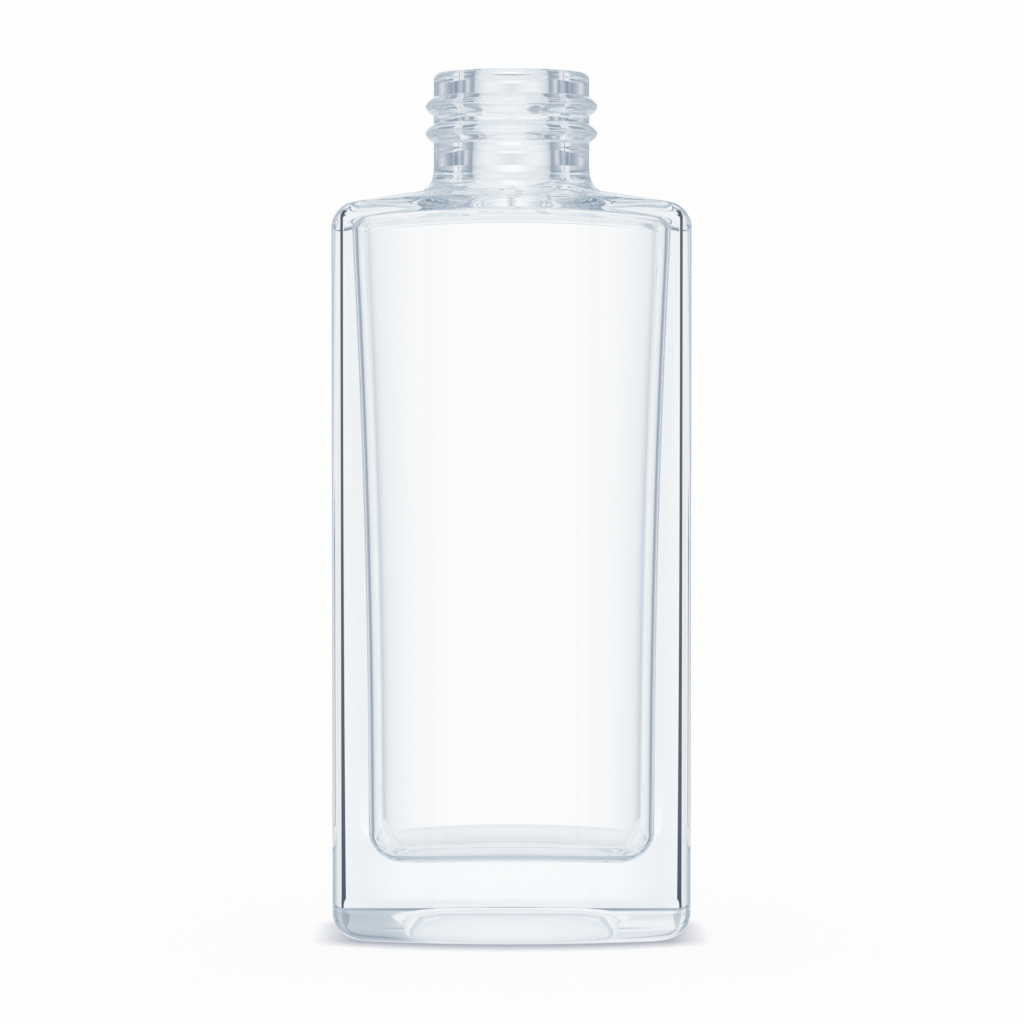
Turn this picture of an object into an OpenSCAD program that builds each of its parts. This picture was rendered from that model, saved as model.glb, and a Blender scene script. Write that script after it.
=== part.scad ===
// Aftershave bottle moulded in one piece of clear glass, standing empty and open on its base.
// The origin is the centre of the base at the height of the surface that it stands on, with +Z up
// and the front face toward -Y. All sizes are in millimetres.

/* [Body] */
// Width between the flat side faces
body_w = 54; // [50:0.5:60]
// Depth between the middles of the bowed front and back faces
body_d = 33; // [32:0.5:38]
// Height of the shoulder where it meets the side faces
shoulder_h = 111.2; // [95:0.1:120]
// Radius of the bow of the front and back faces, seen from above
face_r = 74; // [70:1:200]
// Radius of the four upright edges, seen from above
edge_r = 2.4; // [1.6:0.1:2.8]

/* [Base] */
// Radius where the side faces turn under the base
base_side_r = 4.6; // [3:0.1:5.5]
// Radius where the front and back faces turn under the base
base_face_r = 4.6; // [3:0.1:5.5]
// Width of the flat ring that the bottle stands on
bearing_w = 1.2; // [1:0.1:2.2]
// Width of the slope from the ring up to the push-up, under the base
pushup_slope_w = 0.8; // [0.4:0.1:1.2]
// Radius of the push-up's corners, seen from below
pushup_edge_r = 4; // [3:0.5:6]
// Height of the push-up under the base at its rim
pushup_rim_h = 1.2; // [0.6:0.1:2.6]
// Height of the push-up under the base at its middle
pushup_h = 4.5; // [3:0.1:5.6]

/* [Shoulder] */
// Radius where the side faces turn into the shoulder
top_side_r = 3.7; // [3:0.1:5]
// Radius where the front and back faces turn into the shoulder
top_face_r = 1.8; // [1.2:0.1:2.4]
// Rise of the front and back shoulder edges from their ends to their middles
shoulder_crown = 1.4; // [0:0.1:1.8]
// Slope of the shoulder toward the neck, in degrees
shoulder_slope = 9; // [8:0.5:14]
// Height of the top of the fillet round the foot of the neck, above the shoulder
neck_fillet_h = 5.8; // [4:0.1:6.4]

/* [Neck] */
// Height of the rim's sealing face above the shoulder
neck_h = 20.1; // [18:0.1:40]
// Diameter of the plain neck
neck_d = 23.6; // [22.8:0.1:24.4]
// Diameter of the bore
bore_d = 11.7; // [10:0.1:14]
// Radius of the outer edge of the rim
rim_outer_r = 1; // [0.6:0.1:1.4]
// Radius of the inner edge of the rim
rim_inner_r = 0.6; // [0.3:0.1:1]

/* [Closure beads] */
// Diameter over the beads
bead_d = 26; // [25:0.1:27]
// Height that one bead takes up on the neck
bead_w = 3; // [2.4:0.1:3.4]
// Distance between the two beads
bead_pitch = 4.1; // [3.8:0.05:4.4]
// Depth of the first bead's middle below the rim
bead_drop = 5.1; // [4:0.1:5.5]
// Height of the ridge that the neck ring of the mould leaves
parting_h = 0.12; // [0.05:0.01:0.3]

/* [Cavity] */
// Thickness of the front and back walls at their middles
face_wall = 3; // [2.8:0.1:4.4]
// Radius of the bow of the cavity's front and back faces, seen from above
cavity_face_r = 64; // [60:1:110]
// Part of the cavity's depth that is lost toward its side walls, where its faces close in
cavity_pinch = 0.07; // [0:0.01:0.12]
// Radius of the cavity's four upright edges, seen from above
cavity_edge_r = 2.2; // [1.6:0.1:3.2]
// Thickness of the side walls at the cavity's floor
side_wall_low = 6; // [5:0.1:7]
// Thickness of the side walls under the shoulder
side_wall_high = 3.7; // [2.4:0.1:4.4]
// Height of the cavity's floor at its ends
floor_h = 11.6; // [8:0.1:14]
// Rise of the cavity's floor from its ends to its middle
floor_crown = 0.9; // [0:0.1:1.4]
// Thickness of the glass under the shoulder's side edges
roof_wall = 2; // [1.6:0.1:3]
// Depth of the top of the throat's flare below the rim
throat_drop = 16; // [14:0.1:17]

/* [Smoothness] */
// Steps round each upright edge and each turned edge
edge_steps = 5; // [4:1:8]
// Steps across half of a bowed face
face_steps = 8; // [5:1:12]

/* [Hidden] */
half_w = body_w / 2;
half_d = body_d / 2;
neck_r = neck_d / 2;
bore_r = bore_d / 2;
bead_rise = bead_d / 2 - neck_r;
rim_h = shoulder_h + neck_h;
neck_foot_h = shoulder_h + neck_fillet_h;
throat_h = rim_h - throat_drop;
bead_heights = [rim_h - bead_drop - bead_pitch, rim_h - bead_drop];
// the mould's parting line lies this far under the lower bead
parting_z = bead_heights[0] - bead_w / 2 - 0.8;
parting_w = 0.4;
// the turned surfaces stand this much clear of the true cylinders that they run into
lap = 0.05;
// the turned edges stop short of level by this angle, where the sloping shoulder takes over
edge_turn = 80;
// how flat the middle of the push-up is
pushup_power = 4;
// how fast the side walls thicken toward the floor
wall_power = 2;
wall_steps = 7;
// radii of the cavity's level edges, round its floor and under its roof, at its sides and faces
cavity_floor_side_r = 5.5;
cavity_floor_face_r = 3;
cavity_roof_side_r = 2;
cavity_roof_face_r = 1.5;
cavity_half_d = half_d - face_wall;
cavity_low_w = half_w - side_wall_low;
cavity_high_w = half_w - side_wall_high;
cavity_roof_h = shoulder_h - roof_wall;
eps = 0.5;
$fn = 96;

// A quarter of a bowed rectangle of half sizes a and b, from the middle of its side to the middle
// of its face. The third number of a point is 0 on the side, 1 on the face and between on the edge.
function quarter(a, b, bow_r, r) =
    let (behind = bow_r - b,
         edge_y = sqrt((bow_r - r) ^ 2 - (a - r) ^ 2) - behind,
         turn = atan2(a - r, edge_y + behind))
    concat(
        [[a, 0, 0]],
        [for (k = [0:edge_steps]) let (t = (90 - turn) * k / edge_steps)
            [a - r + r * cos(t), edge_y + r * sin(t), sin(t) ^ 2]],
        [for (k = [1:face_steps]) let (t = turn * (1 - k / face_steps))
            [bow_r * sin(t), bow_r * cos(t) - behind, cos(t) ^ 2]]);

// The whole bowed rectangle, anticlockwise from the middle of its right side
function outline(a, b, bow_r, r) =
    let (q = quarter(a, b, bow_r, r),
         n = len(q) - 1)
    concat(
        q,
        [for (k = [n - 1:-1:0]) [-q[k].x, q[k].y, q[k].z]],
        [for (k = [1:n]) [-q[k].x, -q[k].y, q[k].z]],
        [for (k = [n - 1:-1:1]) [q[k].x, -q[k].y, q[k].z]]);

// An edge radius that changes from the sides to the faces
function blend(side_r, face_r, share) = side_r + (face_r - side_r) * share;

// Rise of a crowned edge or floor at x
function crown(rise, x, half) = rise * (1 - (x / half) ^ 2);

// One ring of an edge that turns through angle t, from upright at 0 to level at 90.
// It lies above (up = 1) or below (up = -1) the level z where the edge ends.
function turned(a, b, bow_r, r, side_r, face_r, t, z, up, rise, half) =
    [for (p = outline(a - side_r * (1 - cos(t)), b - face_r * (1 - cos(t)), bow_r, r))
        [p.x, p.y, z - up * blend(side_r, face_r, p.z) * (1 - sin(t)) + crown(rise, p.x, half)]];

// Rings that carry on from an edge up a slope and through a fillet to a cylinder of radius r,
// which they reach at height top
function run_up(edge, r, slope, top) =
    let (side = [for (p = edge) norm([p.x, p.y])],
         corner = [for (i = [0:len(edge) - 1]) edge[i].z + (side[i] - r) * tan(slope)],
         reach = [for (i = [0:len(edge) - 1])
            min(top - corner[i], 0.95 * (side[i] - r) / cos(slope))],
         start = [for (i = [0:len(edge) - 1])
            [r + reach[i] * cos(slope), corner[i] - reach[i] * sin(slope)]])
    [for (k = [0:edge_steps + 1]) let (t = k / (edge_steps + 1))
        [for (i = [0:len(edge) - 1]) let (
            u = start[i] * (1 - t) ^ 2 + [r, corner[i]] * 2 * t * (1 - t) + [r, top] * t ^ 2,
            way = [edge[i].x, edge[i].y] / side[i])
            [way.x * u.x, way.y * u.x, u.y]]];

// A ring of the cavity whose faces close in toward the side walls
function pinched(ring) =
    [for (p = ring) [p.x, p.y * (1 - cavity_pinch * (p.x / ring[0].x) ^ 6), p.z]];

// A closed solid through rings that have the same number of points, from its lower end
module loft(rings) {
    n = len(rings[0]);
    last = (len(rings) - 1) * n;
    polyhedron(
        points = [for (ring = rings) each ring],
        faces = concat(
            [for (i = [1:n - 2]) [0, i, i + 1]],
            [for (i = [1:n - 2]) [last, last + i + 1, last + i]],
            [for (low = [0:n:last - n], i = [0:n - 1])
                [low + i, low + n + i, low + n + (i + 1) % n]],
            [for (low = [0:n:last - n], i = [0:n - 1])
                [low + i, low + n + (i + 1) % n, low + (i + 1) % n]]));
}

// The push-up under the base, from its middle out to its rim and down a short slope
function pushup_rings() =
    let (a = half_w - base_side_r - bearing_w,
         b = half_d - base_face_r - bearing_w,
         rim = outline(a - pushup_slope_w, b - pushup_slope_w, face_r, pushup_edge_r))
    concat(
        [for (t = [0.25, 0.5, 0.68, 0.82, 0.92, 1])
            [for (p = rim)
                [p.x * t, p.y * t, pushup_rim_h + (pushup_h - pushup_rim_h) * (1 - t ^ pushup_power)]]],
        [[for (p = outline(a, b, face_r, pushup_edge_r)) [p.x, p.y, 0]]]);

// The outside of the body: base, walls, shoulder and the fillet up to the neck
function body_rings() =
    let (edge = turned(half_w, half_d, face_r, edge_r, top_side_r, top_face_r, edge_turn,
                       shoulder_h, 1, shoulder_crown, half_w))
    concat(
        pushup_rings(),
        [for (k = [edge_steps:-1:0])
            turned(half_w, half_d, face_r, edge_r, base_side_r, base_face_r, 90 * k / edge_steps,
                   0, -1, 0, half_w)],
        [for (k = [0:edge_steps])
            turned(half_w, half_d, face_r, edge_r, top_side_r, top_face_r, edge_turn * k / edge_steps,
                   shoulder_h, 1, shoulder_crown, half_w)],
        run_up(edge, neck_r + lap, shoulder_slope, neck_foot_h));

// Half width of the cavity at a part t of its height, from 0 at the floor to 1 under the shoulder
function cavity_w(t) = cavity_low_w + (cavity_high_w - cavity_low_w) * t ^ wall_power;

// The inside of the body: floor, walls, roof and the flare up to the bore
function cavity_rings() =
    let (low = floor_h + cavity_floor_side_r,
         high = cavity_roof_h - cavity_roof_side_r,
         foot = pinched(turned(cavity_low_w, cavity_half_d, cavity_face_r, cavity_edge_r,
                               cavity_floor_side_r, cavity_floor_face_r, 90, floor_h, -1, 0,
                               cavity_low_w)),
         edge = pinched(turned(cavity_high_w, cavity_half_d, cavity_face_r, cavity_edge_r,
                               cavity_roof_side_r, cavity_roof_face_r, edge_turn, cavity_roof_h, 1,
                               shoulder_crown, cavity_high_w)))
    concat(
        [for (t = [0.2, 0.5, 0.8])
            [for (p = foot) [p.x * t, p.y * t, floor_h + crown(floor_crown, p.x * t, cavity_low_w)]]],
        [for (k = [edge_steps:-1:0])
            pinched(turned(cavity_low_w, cavity_half_d, cavity_face_r, cavity_edge_r,
                           cavity_floor_side_r, cavity_floor_face_r, 90 * k / edge_steps, floor_h, -1,
                           floor_crown, cavity_low_w))],
        [for (k = [1:wall_steps - 1]) let (t = k / wall_steps)
            [for (p = pinched(outline(cavity_w(t), cavity_half_d, cavity_face_r, cavity_edge_r)))
                [p.x, p.y, low + (high - low) * t]]],
        [for (k = [0:edge_steps])
            pinched(turned(cavity_high_w, cavity_half_d, cavity_face_r, cavity_edge_r,
                           cavity_roof_side_r, cavity_roof_face_r, edge_turn * k / edge_steps,
                           cavity_roof_h, 1, shoulder_crown, cavity_high_w))],
        run_up(edge, bore_r + lap, shoulder_slope, throat_h));

// Points of a quarter circle of radius r about [x, z], from angle a to angle b
function arc(x, z, r, a, b) =
    [for (k = [0:edge_steps]) let (t = a + (b - a) * k / edge_steps) [x + r * cos(t), z + r * sin(t)]];

// One rounded bead about height z, which runs smoothly into the neck
function bead(z) =
    let (steps = 2 * edge_steps + 2)
    [for (k = [0:steps]) let (t = sin(180 * k / steps - 90))
        [neck_r + bead_rise * (1 - abs(t) ^ 2.4) ^ 1.5, z + bead_w / 2 * t]];

// The solid neck with its parting line, its beads and the rounded outer edge of the rim
module neck_outside() {
    rotate_extrude()
        polygon(concat(
            [[0, neck_foot_h - 2], [neck_r, neck_foot_h - 2]],
            [[neck_r, parting_z - parting_w / 2], [neck_r + parting_h, parting_z],
             [neck_r, parting_z + parting_w / 2]],
            bead(bead_heights[0]),
            bead(bead_heights[1]),
            arc(neck_r - rim_outer_r, rim_h - rim_outer_r, rim_outer_r, 0, 90),
            [[0, rim_h]]));
}

// The bore with the rounded inner edge of the rim
module bore() {
    rotate_extrude()
        polygon(concat(
            [[0, throat_h - 2], [bore_r, throat_h - 2]],
            arc(bore_r + rim_inner_r, rim_h - rim_inner_r, rim_inner_r, 180, 90),
            [[bore_r + rim_inner_r, rim_h + eps], [0, rim_h + eps]]));
}

module glass_bottle() {
    color([0.86, 0.92, 0.95, 0.45])
        difference() {
            union() {
                loft(body_rings());
                neck_outside();
            }
            loft(cavity_rings());
            bore();
        }
}

glass_bottle();
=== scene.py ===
"""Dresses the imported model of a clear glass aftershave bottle, with its floor, light and camera."""

import math
from collections import namedtuple

import bmesh
import bpy
from bpy.props import FloatProperty, FloatVectorProperty, PointerProperty
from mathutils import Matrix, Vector


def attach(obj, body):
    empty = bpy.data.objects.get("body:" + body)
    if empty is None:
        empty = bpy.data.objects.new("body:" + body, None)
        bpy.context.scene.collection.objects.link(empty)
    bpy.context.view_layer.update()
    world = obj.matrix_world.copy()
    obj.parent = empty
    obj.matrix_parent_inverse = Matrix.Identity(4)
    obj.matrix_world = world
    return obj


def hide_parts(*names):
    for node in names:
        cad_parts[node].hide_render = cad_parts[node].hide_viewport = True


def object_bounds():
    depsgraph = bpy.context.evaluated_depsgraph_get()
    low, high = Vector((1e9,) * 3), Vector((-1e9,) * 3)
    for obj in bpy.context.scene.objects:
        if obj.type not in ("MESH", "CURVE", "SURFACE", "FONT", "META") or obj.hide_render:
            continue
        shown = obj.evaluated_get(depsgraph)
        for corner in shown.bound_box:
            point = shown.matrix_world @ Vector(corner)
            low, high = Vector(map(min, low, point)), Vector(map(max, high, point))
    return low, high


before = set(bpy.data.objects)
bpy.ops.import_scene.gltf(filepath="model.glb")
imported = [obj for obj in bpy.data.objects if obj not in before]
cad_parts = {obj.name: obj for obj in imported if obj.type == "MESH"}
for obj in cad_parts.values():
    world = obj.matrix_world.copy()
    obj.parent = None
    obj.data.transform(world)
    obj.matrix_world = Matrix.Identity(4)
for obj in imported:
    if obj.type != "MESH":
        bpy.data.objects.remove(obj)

bl_info = {
    "name": "Aftershave Bottle",
    "version": (1, 0, 0),
    "blender": (4, 5, 0),
    "location": "3D View > Sidebar > Bottle",
    "description": "Makes a clear glass aftershave bottle and the studio that it stands in",
    "category": "Add Mesh",
}

NODE = "glass_bottle"
cad_low, cad_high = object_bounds()
MM = 0.001


def length(name, description, millimetres):
    """A size in metres, given in millimetres."""
    return FloatProperty(
        name=name, description=description, default=millimetres * MM, unit="LENGTH", precision=5
    )


# ---------------------------------------------------------------- sizes and looks that a user would change


class BottleSizes(bpy.types.PropertyGroup):
    """Sizes of the glass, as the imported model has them."""

    width: FloatProperty(
        name="Width", description="Width between the side faces",
        default=cad_high.x - cad_low.x, unit="LENGTH",
    )
    depth: FloatProperty(
        name="Depth", description="Depth between the middles of the faces",
        default=cad_high.y - cad_low.y, unit="LENGTH",
    )
    height: FloatProperty(
        name="Height", description="Height of the rim",
        default=cad_high.z - cad_low.z, unit="LENGTH",
    )
    bow: length("Bow", "Radius of the bowed faces, seen from above", 74)
    edge: length("Upright edge", "Radius of the four upright edges", 2.4)
    base_side: length("Base side turn", "Radius where the sides turn under the base", 4.6)
    base_face: length("Base face turn", "Radius where the faces turn under the base", 4.6)
    bearing: length("Bearing ring", "Width of the flat ring that the bottle stands on", 1.2)
    pushup_slope: length("Push-up slope", "Width of the slope from the ring up to the push-up", 0.8)
    pushup_edge: length("Push-up corner", "Radius of the push-up's corners, seen from below", 4)
    pushup_rim: length("Push-up rim", "Height of the push-up at its rim", 1.2)
    pushup: length("Push-up", "Height of the push-up at its middle", 4.5)
    neck_height: length("Neck height", "Height of the rim above the shoulder", 20.1)
    top_side: length("Top side turn", "Radius where the sides turn into the shoulder", 3.7)
    top_face: length("Top face turn", "Radius where the faces turn into the shoulder", 1.8)
    crown: length("Shoulder crown", "Rise of the shoulder's long edges to their middles", 1.4)
    fillet: length("Neck fillet", "Height of the neck's fillet above the shoulder", 5.8)
    slope: FloatProperty(
        name="Shoulder slope", description="Slope of the shoulder toward the neck",
        default=math.radians(9), subtype="ANGLE",
    )
    neck: length("Neck diameter", "Diameter of the plain neck", 23.6)
    bore: length("Bore diameter", "Diameter of the bore", 11.7)
    rim_outer: length("Rim outer edge", "Radius of the rim's outer edge", 1)
    rim_inner: length("Rim inner edge", "Radius of the rim's inner edge", 0.6)
    bead: length("Bead diameter", "Diameter over the beads", 26)
    bead_width: length("Bead width", "Height that one bead takes up on the neck", 3.0)
    bead_pitch: length("Bead pitch", "Distance between the two beads", 4.1)
    bead_drop: length("Bead drop", "Depth of the first bead below the rim", 5.1)
    parting: length("Parting line", "Height of the ridge left by the mould's neck ring", 0.12)
    face_wall: length("Face wall", "Thickness of the front and back walls at their middles", 3.0)
    cavity_bow: length("Cavity bow", "Radius of the cavity's bowed faces, seen from above", 64)
    pinch: FloatProperty(
        name="Cavity pinch", description="Part of the cavity's depth that is lost toward its side walls",
        default=0.07,
    )
    side_low: length("Side wall low", "Thickness of the side walls at the cavity's floor", 6.0)
    side_high: length("Side wall high", "Thickness of the side walls under the shoulder", 3.7)
    floor: length("Cavity floor", "Height of the cavity's floor at its ends", 11.6)
    floor_crown: length("Floor crown", "Rise of the cavity's floor to its middle", 0.9)
    roof_wall: length("Roof wall", "Thickness of the glass under the shoulder's side edges", 2)
    throat_drop: length("Throat drop", "Depth of the top of the throat's flare below the rim", 16)
    cavity_edge: length("Cavity edge", "Radius of the cavity's upright edges", 2.2)


class GlassLook(bpy.types.PropertyGroup):
    """Finish of the glass."""

    tint: FloatVectorProperty(
        name="Tint", description="Colour that thick glass takes on", subtype="COLOR", size=3,
        default=(0.81, 0.91, 0.96), min=0, max=1,
    )
    density: FloatProperty(
        name="Tint density", description="How fast the tint builds up, per metre", default=6.0
    )
    ior: FloatProperty(name="Index of refraction", description="Index of refraction", default=1.52)


class StageLook(bpy.types.PropertyGroup):
    """Floor, light and camera."""

    white: FloatProperty(name="Backdrop", description="Brightness of the backdrop", default=0.99)
    flag: FloatVectorProperty(
        name="Flags", description="Colour of the dark flags between the soft lights", subtype="COLOR",
        size=3, default=(0.035, 0.055, 0.09), min=0, max=1,
    )
    lens: FloatProperty(name="Lens", description="Focal length in millimetres", default=136.98)
    side: length("Camera side", "Distance of the camera to the right of the bottle's middle", 0.07)
    distance: length("Distance", "Distance from the camera to the bottle's axis", 594.8)
    height: length("Camera height", "Height of the camera above the floor", 87.8)
    pitch: FloatProperty(
        name="Pitch", description="How far the camera looks down",
        default=math.radians(2.238), subtype="ANGLE",
    )


# ---------------------------------------------------------------- the shape of the glass

SIDE_STEPS = 8
EDGE_STEPS = 14
FACE_STEPS = 36
TURN_STEPS = 12
BODY_STEPS = 4
WALL_STEPS = 24
JOIN_STEPS = 3
FILLET_STEPS = 16
FLARE_STEPS = 20
BEAD_STEPS = 32
RIM_STEPS = 8

EDGE_TURN = math.radians(80)  # how far the edges of the shoulder and the roof turn before they slope
FILLET_SHARE = 0.95  # most of the slope that a fillet may take up
PUSHUP_POWER = 4.0  # how flat the push-up's middle is
WALL_POWER = 2.0  # how late the side walls get thinner on their way up
BEAD_FLATNESS = 2.4  # how flat a bead's crest is
BEAD_BLEND = 1.5  # how gently a bead runs into the neck
PARTING_DROP = 0.8 * MM  # from the lower bead down to the parting line
PARTING_REACH = 0.2 * MM  # from the parting line's crest to its edges

CAVITY_FLOOR_SIDE = 5.5 * MM  # radii where the cavity's sides and faces turn into its floor
CAVITY_FLOOR_FACE = 3 * MM
CAVITY_ROOF_SIDE = 2 * MM  # radii where they turn into its roof
CAVITY_ROOF_FACE = 1.5 * MM
PINCH_POWER = 6  # how close to the side walls the pinch starts
SOFT_SPREAD = 0.7 * MM  # how far the cavity's bends run into each other
SOFT_REACH = 3  # spreads past which a point no longer counts

# A bowed rectangle seen from above: half its width, half its depth, and the radii of its faces and edges.
Plan = namedtuple("Plan", "a b bow edge")


def evenly(first, last, steps):
    """Numbers from first to last in equal steps, with both ends."""
    return [first + (last - first) * (k / steps) for k in range(steps + 1)]


def quarter(plan):
    """A quarter of a plan as (x, y, share), where share runs from 0 on the side to 1 on the face."""
    behind = plan.bow - plan.b
    edge_x = plan.a - plan.edge
    edge_y = math.sqrt((plan.bow - plan.edge) ** 2 - edge_x**2) - behind
    turn = math.atan2(edge_x, edge_y + behind)
    points = [(plan.a, y, 0.0) for y in evenly(0, edge_y, SIDE_STEPS)[:-1]]
    for t in evenly(0, math.pi / 2 - turn, EDGE_STEPS):
        points.append((edge_x + plan.edge * math.cos(t), edge_y + plan.edge * math.sin(t), math.sin(t) ** 2))
    for t in evenly(turn, 0, FACE_STEPS)[1:]:
        points.append((plan.bow * math.sin(t), plan.bow * math.cos(t) - behind, math.cos(t) ** 2))
    return points


def outline(plan):
    """The whole of a plan, anticlockwise from the middle of its right side."""
    right = quarter(plan)
    half = right + [(-x, y, share) for x, y, share in reversed(right[:-1])]
    return half + [(x, -y, share) for x, y, share in reversed(half[1:-1])]


def turned(plan, side_turn, face_turn, t, level, up, crown=0.0):
    """One ring of an edge that has turned through angle t, from upright at 0 to level at a right angle.

    The edge turns with one radius on the sides and another on the faces. It is a top edge where up is 1 and
    a bottom edge where it is -1, and its ring rises by the crown toward the middles of the faces.
    """
    inward = 1 - math.cos(t)
    ring = []
    for x, y, share in outline(plan._replace(a=plan.a - side_turn * inward, b=plan.b - face_turn * inward)):
        radius = side_turn + (face_turn - side_turn) * share
        ring.append((x, y, level - up * radius * (1 - math.sin(t)) + crown * (1 - (x / plan.a) ** 2)))
    return ring


def run_up(edge, r, slope, top, steps):
    """Rings that carry on from an edge up a slope, and through a fillet to a cylinder that starts at top.

    Each point of the edge runs along its own curve, which leaves the slope one leg before the corner between
    slope and cylinder, and meets the cylinder upright.
    """
    rings = []
    for t in evenly(0, 1, steps):
        on_slope, at_corner, at_top = (1 - t) ** 2, 2 * t * (1 - t), t**2
        ring = []
        for x, y, z in edge:
            side = math.hypot(x, y)
            corner = z + (side - r) * math.tan(slope)
            leg = min(top - corner, FILLET_SHARE * (side - r) / math.cos(slope))
            start_r = r + leg * math.cos(slope)
            start_z = corner - leg * math.sin(slope)
            radius = start_r * on_slope + r * (at_corner + at_top)
            height = start_z * on_slope + corner * at_corner + top * at_top
            ring.append((x / side * radius, y / side * radius, height))
        rings.append(ring)
    return rings


def between(low, high, steps):
    """Rings part of the way from one ring to the next."""
    return [
        [tuple(Vector(p).lerp(Vector(q), t)) for p, q in zip(low, high)] for t in evenly(0, 1, steps)[1:-1]
    ]


def pushup_rings(s, foot):
    """The push-up, from its middle over its dome and down its slope to the ring that the bottle stands on."""
    rim = outline(foot._replace(a=foot.a - s.pushup_slope, b=foot.b - s.pushup_slope))
    rings = []
    for angle in evenly(0, math.pi / 2, TURN_STEPS):
        t = math.sin(angle)
        height = s.pushup_rim + (s.pushup - s.pushup_rim) * (1 - t**PUSHUP_POWER)
        rings.append([(x * t, y * t, height) for x, y, _ in rim])
    return rings + [[(x, y, 0.0) for x, y, _ in outline(foot)]]


def outside_rings(s):
    """The outside of the body, from the middle of the push-up to the foot of the neck."""
    body = Plan(s.width / 2, s.depth / 2, s.bow, s.edge)
    foot = Plan(body.a - s.base_side - s.bearing, body.b - s.base_face - s.bearing, s.bow, s.pushup_edge)
    shoulder = s.height - s.neck_height
    base = [turned(body, s.base_side, s.base_face, t, 0.0, -1) for t in evenly(math.pi / 2, 0, TURN_STEPS)]
    edge = [
        turned(body, s.top_side, s.top_face, t, shoulder, 1, s.crown)
        for t in evenly(0, EDGE_TURN, TURN_STEPS)
    ]
    fillet = run_up(edge[-1], s.neck / 2, s.slope, shoulder + s.fillet, FILLET_STEPS)
    walls = between(base[-1], edge[0], BODY_STEPS)
    return pushup_rings(s, foot) + base + walls + edge + between(edge[-1], fillet[0], JOIN_STEPS) + fillet


def softened(ring):
    """A ring whose bends run into each other, as in glass that no mould touches."""
    count = len(ring)
    points = [Vector(p) for p in ring]
    gaps = [(points[(i + 1) % count] - points[i]).length for i in range(count)]
    soft = []
    for i in range(count):
        total, weights = Vector(), 0.0
        for way in (1, -1):
            j, gone = i, 0.0
            while gone < SOFT_REACH * SOFT_SPREAD:
                weight = math.exp(-((gone / SOFT_SPREAD) ** 2) / 2) * (gaps[j] + gaps[j - 1])
                if j == i:
                    weight /= 2
                total += points[j] * weight
                weights += weight
                gone += gaps[j] if way == 1 else gaps[j - 1]
                j = (j + way) % count
        soft.append(tuple(total / weights))
    return soft


def pinched(ring, pinch):
    """A softened ring of the cavity, whose faces close in toward the side walls."""
    a = ring[0][0]
    return softened([(x, y * (1 - pinch * (x / a) ** PINCH_POWER), z) for x, y, z in ring])


def cavity_floor_rings(s, foot):
    """The cavity's floor, from its middle to the foot of its walls."""

    def edge_ring(t, crown):
        ring = turned(foot, CAVITY_FLOOR_SIDE, CAVITY_FLOOR_FACE, t, s.floor, -1, crown)
        return pinched(ring, s.pinch)

    flat = edge_ring(math.pi / 2, 0.0)
    rings = []
    for t in evenly(0, 1, TURN_STEPS)[:-1]:
        inner = [(x * t, y * t) for x, y, _ in flat]
        rings.append([(x, y, s.floor + s.floor_crown * (1 - (x / foot.a) ** 2)) for x, y in inner])
    return rings + [edge_ring(t, s.floor_crown) for t in evenly(math.pi / 2, 0, TURN_STEPS)]


def cavity_wall_rings(s, foot, head, roof):
    """The cavity's walls, between the turns into its floor and its roof.

    The share stands in for the height while a ring is pinched. It keeps the points of the upright edges far
    apart, so those edges stay plain arcs.
    """
    low, high = s.floor + CAVITY_FLOOR_SIDE, roof - CAVITY_ROOF_SIDE
    rings = []
    for t in evenly(0, 1, WALL_STEPS)[1:-1]:
        ring = pinched(outline(foot._replace(a=foot.a + (head.a - foot.a) * t**WALL_POWER)), s.pinch)
        rings.append([(x, y, low + (high - low) * t) for x, y, _ in ring])
    return rings


def cavity_rings(s):
    """The inside of the body, from the middle of the cavity's floor to the top of the throat."""
    foot = Plan(s.width / 2 - s.side_low, s.depth / 2 - s.face_wall, s.cavity_bow, s.cavity_edge)
    head = foot._replace(a=s.width / 2 - s.side_high)
    roof = s.height - s.neck_height - s.roof_wall
    edge = [
        pinched(turned(head, CAVITY_ROOF_SIDE, CAVITY_ROOF_FACE, t, roof, 1, s.crown), s.pinch)
        for t in evenly(0, EDGE_TURN, TURN_STEPS)
    ]
    flare = run_up(edge[-1], s.bore / 2, s.slope, s.height - s.throat_drop, FLARE_STEPS)
    walls = cavity_wall_rings(s, foot, head, roof)
    return cavity_floor_rings(s, foot) + walls + edge + between(edge[-1], flare[0], JOIN_STEPS) + flare


def arc(r, z, radius, first, last):
    """Points (radius, height) of an arc about (r, z), between two angles in degrees."""
    return [
        (r + radius * math.cos(t), z + radius * math.sin(t))
        for t in evenly(math.radians(first), math.radians(last), RIM_STEPS)
    ]


def neck_profile(s):
    """The neck's outline as (radius, height), from above the foot, over the rim and down the bore."""
    r, bore = s.neck / 2, s.bore / 2
    lower = s.height - s.bead_drop - s.bead_pitch
    line = lower - s.bead_width / 2 - PARTING_DROP
    points = [(r, line - PARTING_REACH), (r + s.parting, line), (r, line + PARTING_REACH)]
    for middle in (lower, lower + s.bead_pitch):
        for angle in evenly(-math.pi / 2, math.pi / 2, BEAD_STEPS):
            t = math.sin(angle)
            swell = (1 - abs(t) ** BEAD_FLATNESS) ** BEAD_BLEND
            points.append((r + (s.bead / 2 - r) * swell, middle + s.bead_width / 2 * t))
    points += arc(r - s.rim_outer, s.height - s.rim_outer, s.rim_outer, 0, 90)
    points += arc(bore + s.rim_inner, s.height - s.rim_inner, s.rim_inner, 90, 180)
    return points


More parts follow.
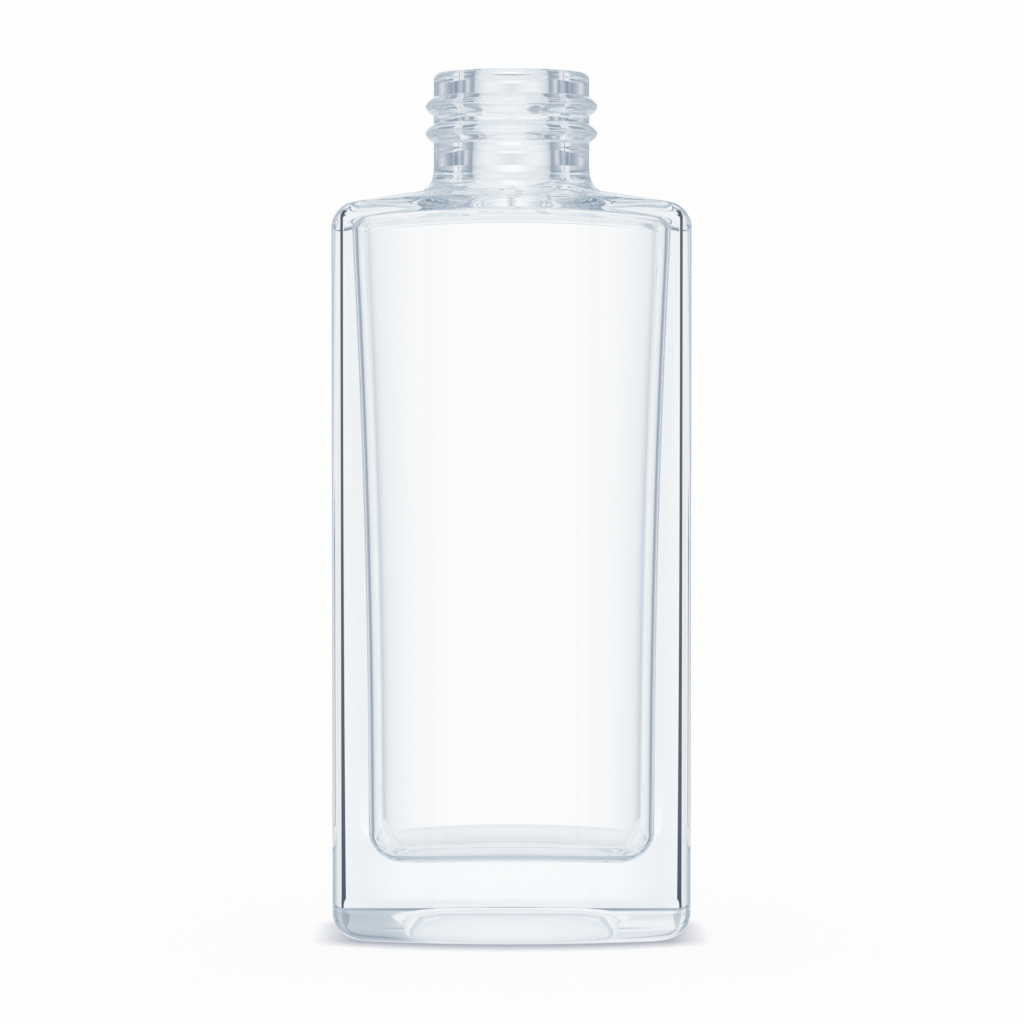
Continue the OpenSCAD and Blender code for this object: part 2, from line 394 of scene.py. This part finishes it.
def loft(bm, rings):
    """Extrudes a circle through the rings, and closes its two ends to a point."""
    place = bm.verts.layers.int.new("place")
    verts = bmesh.ops.create_circle(bm, cap_ends=False, segments=len(rings[0]), radius=1)["verts"]
    for index, vert in enumerate(verts):
        vert[place] = index
    first = list(verts)
    edges = list(bm.edges)
    for number, ring in enumerate(rings):
        if number:
            made = bmesh.ops.extrude_edge_only(bm, edges=edges)["geom"]
            verts = [g for g in made if isinstance(g, bmesh.types.BMVert)]
            edges = [g for g in made if isinstance(g, bmesh.types.BMEdge) and g.is_boundary]
        for vert in verts:
            vert.co = ring[vert[place]]
    for end, ring in ((first, rings[0]), (verts, rings[-1])):
        middle = sum((Vector(p) for p in ring), Vector()) / len(ring)
        bmesh.ops.pointmerge(bm, verts=end, merge_co=middle)
    bm.verts.layers.int.remove(bm.verts.layers.int["place"])


def weigh_normals(mesh):
    """Weighs each face by its area in the normals, so that flat walls stay flat beside their turned edges."""
    normals = [Vector() for _ in mesh.vertices]
    for face in mesh.polygons:
        for index in face.vertices:
            normals[index] += face.normal * face.area
    mesh.normals_split_custom_set_from_vertices([normal.normalized() for normal in normals])


def glass_mesh(s):
    """One closed mesh: the outside up to the rim, over it, down the bore and round the cavity."""
    outside = outside_rings(s)
    inside = cavity_rings(s)[::-1]
    ways = [Vector((x, y)).normalized() for x, y, _ in outside[-1]]
    neck = [[(way.x * r, way.y * r, z) for way in ways] for r, z in neck_profile(s)]
    bm = bmesh.new()
    loft(bm, outside + neck + inside)
    bmesh.ops.recalc_face_normals(bm, faces=bm.faces)
    for face in bm.faces:
        face.smooth = True
    mesh = bpy.data.meshes.new("moulded_glass")
    bm.to_mesh(mesh)
    bm.free()
    weigh_normals(mesh)
    return mesh


# ---------------------------------------------------------------- nodes that materials and the world share

WHITE = (1.0, 1.0, 1.0)


def link_math(tree, operation, *values):
    """A Math node that takes sockets or numbers, and gives its result's socket."""
    node = tree.nodes.new("ShaderNodeMath")
    node.operation = operation
    for socket, value in zip(node.inputs, values):
        if isinstance(value, (int, float)):
            socket.default_value = value
        else:
            tree.links.new(value, socket)
    return node.outputs[0]


def product(tree, first, *others):
    """The product of two or more masks or numbers."""
    for other in others:
        first = link_math(tree, "MULTIPLY", first, other)
    return first


def opposite(tree, mask):
    """1 where a mask is 0, and 0 where it is 1."""
    return link_math(tree, "SUBTRACT", 1.0, mask)


def smooth_step(tree, value, ends):
    """A mask that runs smoothly from 0 at the first end to 1 at the second."""
    node = tree.nodes.new("ShaderNodeMapRange")
    node.interpolation_type = "SMOOTHSTEP"
    node.inputs["From Min"].default_value = ends[0]
    node.inputs["From Max"].default_value = ends[1]
    tree.links.new(value, node.inputs["Value"])
    return node.outputs["Result"]


def band(tree, value, start, end):
    """A mask that rises from 0 to 1 over its start, and falls back to 0 over its end."""
    return link_math(tree, "SUBTRACT", smooth_step(tree, value, start), smooth_step(tree, value, end))


def colour_ramp(tree, value, stops):
    """A Color Ramp through (place, colour) stops, and its colour socket."""
    node = tree.nodes.new("ShaderNodeValToRGB")
    elements = node.color_ramp.elements
    while len(elements) > 1:
        elements.remove(elements[-1])
    for number, (place, colour) in enumerate(stops):
        element = elements.new(place) if number else elements[0]
        element.position = place
        element.color = (*colour, 1)
    tree.links.new(value, node.inputs[0])
    return node.outputs["Color"]


def mix_colour(tree, mask, first, second):
    """A mix of two colours, given as sockets or as plain colours: the second where the mask is 1."""
    node = tree.nodes.new("ShaderNodeMix")
    node.data_type = "RGBA"
    sockets = {socket.name: socket for socket in node.inputs if socket.enabled}
    tree.links.new(mask, sockets["Factor"])
    for name, colour in (("A", first), ("B", second)):
        if isinstance(colour, tuple):
            sockets[name].default_value = (*colour, 1)
        else:
            tree.links.new(colour, sockets[name])
    return next(socket for socket in node.outputs if socket.enabled)


# ---------------------------------------------------------------- materials

FLOOR_GREY = (0.1, 0.1, 0.1)  # what the floor sends back of the light that falls on it
FLOOR_GLOW = 0.9  # share of the backdrop's brightness that the floor gives off itself
FLOOR_LIFT = 0.006  # what it gives off on top, so that no edge shows where it meets the backdrop
# The painted contact shadow in the floor's glow: how far it reaches from the bottle, how steeply it darkens,
# and the cool grey it darkens to.
CONTACT_REACH = 4.5 * MM
CONTACT_POWER = 1.2
CONTACT_SHADE = (0.42, 0.45, 0.52)


def clear_glass(look):
    """Clear glass with a faint cool tint in its thick parts."""
    material = bpy.data.materials.new("clear_glass")
    material.use_nodes = True
    nodes, links = material.node_tree.nodes, material.node_tree.links
    shader = nodes["Principled BSDF"]
    shader.inputs["Base Color"].default_value = (*WHITE, 1)
    shader.inputs["Roughness"].default_value = 0.0
    shader.inputs["IOR"].default_value = look.ior
    shader.inputs["Transmission Weight"].default_value = 1.0
    tint = nodes.new("ShaderNodeVolumeAbsorption")
    tint.inputs["Color"].default_value = (*look.tint, 1)
    tint.inputs["Density"].default_value = look.density
    links.new(tint.outputs["Volume"], nodes["Material Output"].inputs["Volume"])
    return material


def floor_finish(look):
    """A white floor that keeps the bottle's faint real shadow on its grey part, with a painted contact shadow
    in its glow, and gives way to the backdrop where glass looks at it.
    """
    material = bpy.data.materials.new("white_floor")
    material.use_nodes = True
    tree = material.node_tree
    shader = tree.nodes["Principled BSDF"]
    shader.inputs["Base Color"].default_value = (*FLOOR_GREY, 1)
    shader.inputs["Roughness"].default_value = 1.0
    shader.inputs["Specular IOR Level"].default_value = 0.0
    shader.inputs["Emission Strength"].default_value = look.white * FLOOR_GLOW + FLOOR_LIFT
    # Painted contact shadow: the floor's own glow turns to a cool grey where ambient occlusion finds the
    # bottle close by.
    contact = tree.nodes.new("ShaderNodeAmbientOcclusion")
    contact.inputs["Distance"].default_value = CONTACT_REACH
    lit = link_math(tree, "POWER", contact.outputs["AO"], CONTACT_POWER)
    tree.links.new(mix_colour(tree, lit, CONTACT_SHADE, WHITE), shader.inputs["Emission Color"])
    path = tree.nodes.new("ShaderNodeLightPath")
    seen = link_math(tree, "MAXIMUM", path.outputs["Is Camera Ray"], path.outputs["Is Diffuse Ray"])
    seen = link_math(tree, "MAXIMUM", seen, path.outputs["Is Shadow Ray"])
    clear = tree.nodes.new("ShaderNodeBsdfTransparent")
    choice = tree.nodes.new("ShaderNodeMixShader")
    tree.links.new(seen, choice.inputs[0])
    tree.links.new(clear.outputs[0], choice.inputs[1])
    tree.links.new(shader.outputs[0], choice.inputs[2])
    tree.links.new(choice.outputs[0], tree.nodes["Material Output"].inputs["Surface"])
    return material


# ---------------------------------------------------------------- the studio

# Levels of the studio's light, where 1 is white. Light that crosses only solid glass comes from the SOLID
# ramps, and light that also crosses the bottle's hollow from the HOLLOW ones. The first four ramps run by
# turn, in degrees from 0 straight ahead or behind to 90 at either side.
LOW_SOLID = ((0, 0.91), (16, 0.9), (19, 0.94), (27, 0.84), (34, 0.84), (40, 0.66), (60, 0.46), (90, 0.3))
LOW_HOLLOW = ((0, 1.0), (3, 0.99), (10, 0.88), (25, 0.8), (60, 0.52), (76, 0.55), (84, 0.88), (90, 0.93))
HIGH_SOLID = (
    (0, 0.32), (8, 0.34), (21, 0.53), (31, 0.56), (37, 0.36), (41, 0.38), (54, 0.74), (68, 0.4), (90, 0.38),
)
HIGH_HOLLOW = ((0, 0.77), (8, 0.88), (19, 0.91), (35, 0.76), (63, 0.66), (90, 0.5))

# The next four run by tilt, in degrees from -90 straight below to 90 straight above.
AHEAD = (
    (-90, 0.6), (-50, 0.78), (-18, 0.88), (-11, 0.82), (-9, 0.95),
    (9, 0.95), (12, 0.82), (45, 0.93), (62, 0.85), (90, 0.55),
)
AHEAD_SHADED = (
    (-90, 0.6), (-50, 0.8), (-11, 0.82), (3, 0.9), (6, 0.66), (30, 0.45), (65, 0.7), (90, 0.78),
)
BESIDE_SOLID = (
    (-90, 0.6), (-65, 0.52), (-28, 0.32), (-9, 0.34), (9, 0.5), (25, 0.52), (42, 0.82), (90, 1.0),
)
BESIDE_HOLLOW = ((-90, 0.84), (-9, 0.84), (9, 0.6), (33, 0.54), (60, 0.95), (90, 1.0))

# A pair is where a smooth step starts and ends. Turns are in degrees. Sides, depths and heights are the X, Y
# and Z of a direction of length 1.
SPLIT_HEIGHT = (math.sin(math.radians(2.4)), math.sin(math.radians(2.6)))  # from the low to the high ramps
STEEP_DOWN = (-0.155, -0.19)  # heights past which the ramps by tilt take over
STEEP_UP = (0.085, 0.13)
BESIDE_TURN = (30, 40)  # from the ahead to the beside ramps
SHADED_TURN = (8, 15)  # where the shaded ramp is used, which is on the right alone
SHADED_SIDE = (-0.06, 0.06)
GLOW_HEIGHT = (-0.1, -0.13)  # the bright card that the solid base shows
GLOW_TURN = (18, 10)
GLOW_LEVEL = 0.985
FRONT_DEPTH = (0.1, -0.1)  # the even light from the camera's side of the bottle
FRONT_SHARE = 0.6
FRONT_LEVEL = 0.92
FRONT_HOLLOW_SHARE = 0.84
FRONT_HOLLOW_LEVEL = 0.95
STRIP_START = (19.15, 19.25)  # degrees away from straight ahead or behind, over which the strips start
STRIP_END = (21.3, 21.8)  # and end
STRIP_POWER = 4.0  # how square the strips' path round straight ahead is
STRIP_STRETCH = 0.75  # that path's width over its height
STRIP_FOOT = (-0.26, -0.2)  # from here up to the split the strips are at their darkest
STRIP_TOP_HEIGHT = (0.09, 0.13)  # and above here they are faint
STRIP_TOP_TURN = (11, 15)
STRIP_TOP_SHARE = 0.3

GREY_POWERS = (1.2, 1.0, 0.8)  # red falls a little faster than green as a level drops, and blue slower
SOLID_SURFACES = 2  # surfaces that light passes where it crosses solid glass alone
SIDE_ANGLE = 90
DEGREES = math.degrees(1)

FLOOR_REACH = 6  # metres from the floor's middle to its sides
CAMERA_CLIP = (0.01, 50)  # metres from the camera between which things are drawn
GLASS_BOUNCES = 40
DIFFUSE_BOUNCES = 4

# Sockets for a ray's direction: its X, its Z and its turn in degrees. Two masks go with them, which are 1
# where the ray goes toward the front, and where it has crossed the bottle's hollow.
Ray = namedtuple("Ray", "side height turn front hollow")


def grey(level):
    """The studio's cool grey: white at 1, and bluer the darker it is."""
    return tuple(level**power for power in GREY_POWERS)


def turn_ramp(tree, ray, stops):
    """The light along a ramp by turn."""
    place = link_math(tree, "DIVIDE", ray.turn, SIDE_ANGLE)
    return colour_ramp(tree, place, [(angle / SIDE_ANGLE, grey(level)) for angle, level in stops])


def tilt_ramp(tree, ray, stops):
    """The light along a ramp by tilt."""
    place = link_math(tree, "MULTIPLY_ADD", ray.height, 0.5, 0.5)
    heights = [(math.sin(math.radians(angle)), level) for angle, level in stops]
    return colour_ramp(tree, place, [(height * 0.5 + 0.5, grey(level)) for height, level in heights])


def studio_ray(tree, path):
    """The ray that the world is asked about."""
    place = tree.nodes.new("ShaderNodeTexCoord")
    split = tree.nodes.new("ShaderNodeSeparateXYZ")
    tree.links.new(place.outputs["Generated"], split.inputs[0])
    x, y, height = split.outputs
    turn = link_math(tree, "ARCTAN2", link_math(tree, "ABSOLUTE", x), link_math(tree, "ABSOLUTE", y))
    hollow = link_math(tree, "GREATER_THAN", path.outputs["Transmission Depth"], SOLID_SURFACES)
    return Ray(x, height, product(tree, turn, DEGREES), smooth_step(tree, y, FRONT_DEPTH), hollow)


def level_light(tree, ray):
    """The light at about the bottle's own height."""
    low = mix_colour(tree, ray.hollow, turn_ramp(tree, ray, LOW_SOLID), turn_ramp(tree, ray, LOW_HOLLOW))
    high = mix_colour(tree, ray.hollow, turn_ramp(tree, ray, HIGH_SOLID), turn_ramp(tree, ray, HIGH_HOLLOW))
    below = smooth_step(tree, ray.height, GLOW_HEIGHT)
    ahead = smooth_step(tree, ray.turn, GLOW_TURN)
    glow = product(tree, below, ahead, opposite(tree, ray.hollow))
    low = mix_colour(tree, glow, low, grey(GLOW_LEVEL))
    light = mix_colour(tree, smooth_step(tree, ray.height, SPLIT_HEIGHT), low, high)
    return mix_colour(tree, product(tree, ray.front, FRONT_SHARE), light, grey(FRONT_LEVEL))


def steep_light(tree, ray):
    """The light from well above and below the bottle."""
    shaded = product(tree, smooth_step(tree, ray.turn, SHADED_TURN), smooth_step(tree, ray.side, SHADED_SIDE))
    ahead = mix_colour(tree, shaded, tilt_ramp(tree, ray, AHEAD), tilt_ramp(tree, ray, AHEAD_SHADED))
    beside = mix_colour(
        tree, ray.hollow, tilt_ramp(tree, ray, BESIDE_SOLID), tilt_ramp(tree, ray, BESIDE_HOLLOW)
    )
    return mix_colour(tree, smooth_step(tree, ray.turn, BESIDE_TURN), ahead, beside)


def dark_strips(tree, ray):
    """A mask of the narrow dark strips either side of straight ahead and behind, for solid glass alone."""
    tilt = product(tree, link_math(tree, "ARCSINE", ray.height), DEGREES * STRIP_STRETCH)
    squares = [link_math(tree, "POWER", angle, STRIP_POWER) for angle in (ray.turn, tilt)]
    away = link_math(tree, "POWER", link_math(tree, "ADD", *squares), 1 / STRIP_POWER)
    strips = band(tree, away, STRIP_START, STRIP_END)
    dark = band(tree, ray.height, STRIP_FOOT, SPLIT_HEIGHT)
    above = smooth_step(tree, ray.height, STRIP_TOP_HEIGHT)
    aside = smooth_step(tree, ray.turn, STRIP_TOP_TURN)
    faint = product(tree, above, aside, STRIP_TOP_SHARE)
    clear = opposite(tree, product(tree, ray.front, FRONT_SHARE))
    return product(tree, strips, link_math(tree, "ADD", dark, faint), clear, opposite(tree, ray.hollow))


def make_world(scene, look):
    """A world that the glass sees as soft lights and dark flags, and the camera as plain white."""
    world = bpy.data.worlds.new("white_studio")
    world.use_nodes = True
    scene.world = world
    tree = world.node_tree
    path = tree.nodes.new("ShaderNodeLightPath")
    ray = studio_ray(tree, path)
    steep = [smooth_step(tree, ray.height, ends) for ends in (STEEP_DOWN, STEEP_UP)]
    steep = link_math(tree, "MAXIMUM", *steep)
    light = mix_colour(tree, steep, level_light(tree, ray), steep_light(tree, ray))
    light = mix_colour(tree, dark_strips(tree, ray), light, tuple(look.flag))
    front = product(tree, ray.front, ray.hollow, FRONT_HOLLOW_SHARE)
    light = mix_colour(tree, front, light, grey(FRONT_HOLLOW_LEVEL))
    plain = link_math(tree, "MAXIMUM", path.outputs["Is Camera Ray"], path.outputs["Is Diffuse Ray"])
    back = tree.nodes["Background"]
    back.inputs["Strength"].default_value = look.white
    tree.links.new(mix_colour(tree, plain, light, WHITE), back.inputs["Color"])


def studio_floor(look):
    """The floor, as one large square."""
    mesh = bpy.data.meshes.new("studio_floor")
    bm = bmesh.new()
    bmesh.ops.create_grid(bm, x_segments=1, y_segments=1, size=FLOOR_REACH)
    bm.to_mesh(mesh)
    bm.free()
    mesh.materials.append(floor_finish(look))
    return bpy.data.objects.new("studio_floor", mesh)


def studio_camera(look):
    """The camera, a little above the bottle's middle and looking slightly down."""
    camera = bpy.data.cameras.new("studio_camera")
    camera.lens = look.lens
    camera.clip_start, camera.clip_end = CAMERA_CLIP
    eye = bpy.data.objects.new("studio_camera", camera)
    eye.location = (look.side, -look.distance, look.height)
    eye.rotation_euler = (math.pi / 2 - look.pitch, 0, 0)
    return eye


# ---------------------------------------------------------------- operators and panel


class BOTTLE_OT_glass(bpy.types.Operator):
    """Makes the glass bottle in the place of its solid"""

    bl_idname = "bottle.glass"
    bl_label = "Glass bottle"

    def execute(self, context):
        scene = context.scene
        piece = bpy.data.objects.new("bottle_glass", glass_mesh(scene.bottle_sizes))
        scene.collection.objects.link(piece)
        piece.data.materials.append(clear_glass(scene.glass_look))
        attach(piece, "root")
        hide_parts(NODE)
        return {"FINISHED"}


class BOTTLE_OT_stage(bpy.types.Operator):
    """Makes the floor, the studio's light and the camera"""

    bl_idname = "bottle.stage"
    bl_label = "Studio stage"

    def execute(self, context):
        scene = context.scene
        look = scene.stage_look
        floor = studio_floor(look)
        scene.collection.objects.link(floor)
        make_world(scene, look)
        camera = studio_camera(look)
        scene.collection.objects.link(camera)
        scene.camera = camera
        scene.view_settings.view_transform = "Standard"
        scene.cycles.max_bounces = GLASS_BOUNCES
        scene.cycles.transmission_bounces = GLASS_BOUNCES
        scene.cycles.glossy_bounces = GLASS_BOUNCES
        scene.cycles.diffuse_bounces = DIFFUSE_BOUNCES
        return {"FINISHED"}


class BOTTLE_PT_panel(bpy.types.Panel):
    """Lists the bottle's sizes and the buttons that make it"""

    bl_idname = "BOTTLE_PT_panel"
    bl_label = "Aftershave bottle"
    bl_space_type = "VIEW_3D"
    bl_region_type = "UI"
    bl_category = "Bottle"

    def draw(self, context):
        column = self.layout.column(align=True)
        for group in (context.scene.bottle_sizes, context.scene.glass_look, context.scene.stage_look):
            for name in group.bl_rna.properties.keys():
                if name not in {"rna_type", "name"}:
                    column.prop(group, name)
        column.operator("bottle.glass")
        column.operator("bottle.stage")


CLASSES = (BottleSizes, GlassLook, StageLook, BOTTLE_OT_glass, BOTTLE_OT_stage, BOTTLE_PT_panel)


def register():
    for cls in CLASSES:
        bpy.utils.register_class(cls)
    bpy.types.Scene.bottle_sizes = PointerProperty(type=BottleSizes)
    bpy.types.Scene.glass_look = PointerProperty(type=GlassLook)
    bpy.types.Scene.stage_look = PointerProperty(type=StageLook)


def unregister():
    del bpy.types.Scene.stage_look
    del bpy.types.Scene.glass_look
    del bpy.types.Scene.bottle_sizes
    for cls in reversed(CLASSES):
        bpy.utils.unregister_class(cls)


def main():
    register()
    bpy.ops.bottle.glass()
    bpy.ops.bottle.stage()


if __name__ == "__main__":
    main()
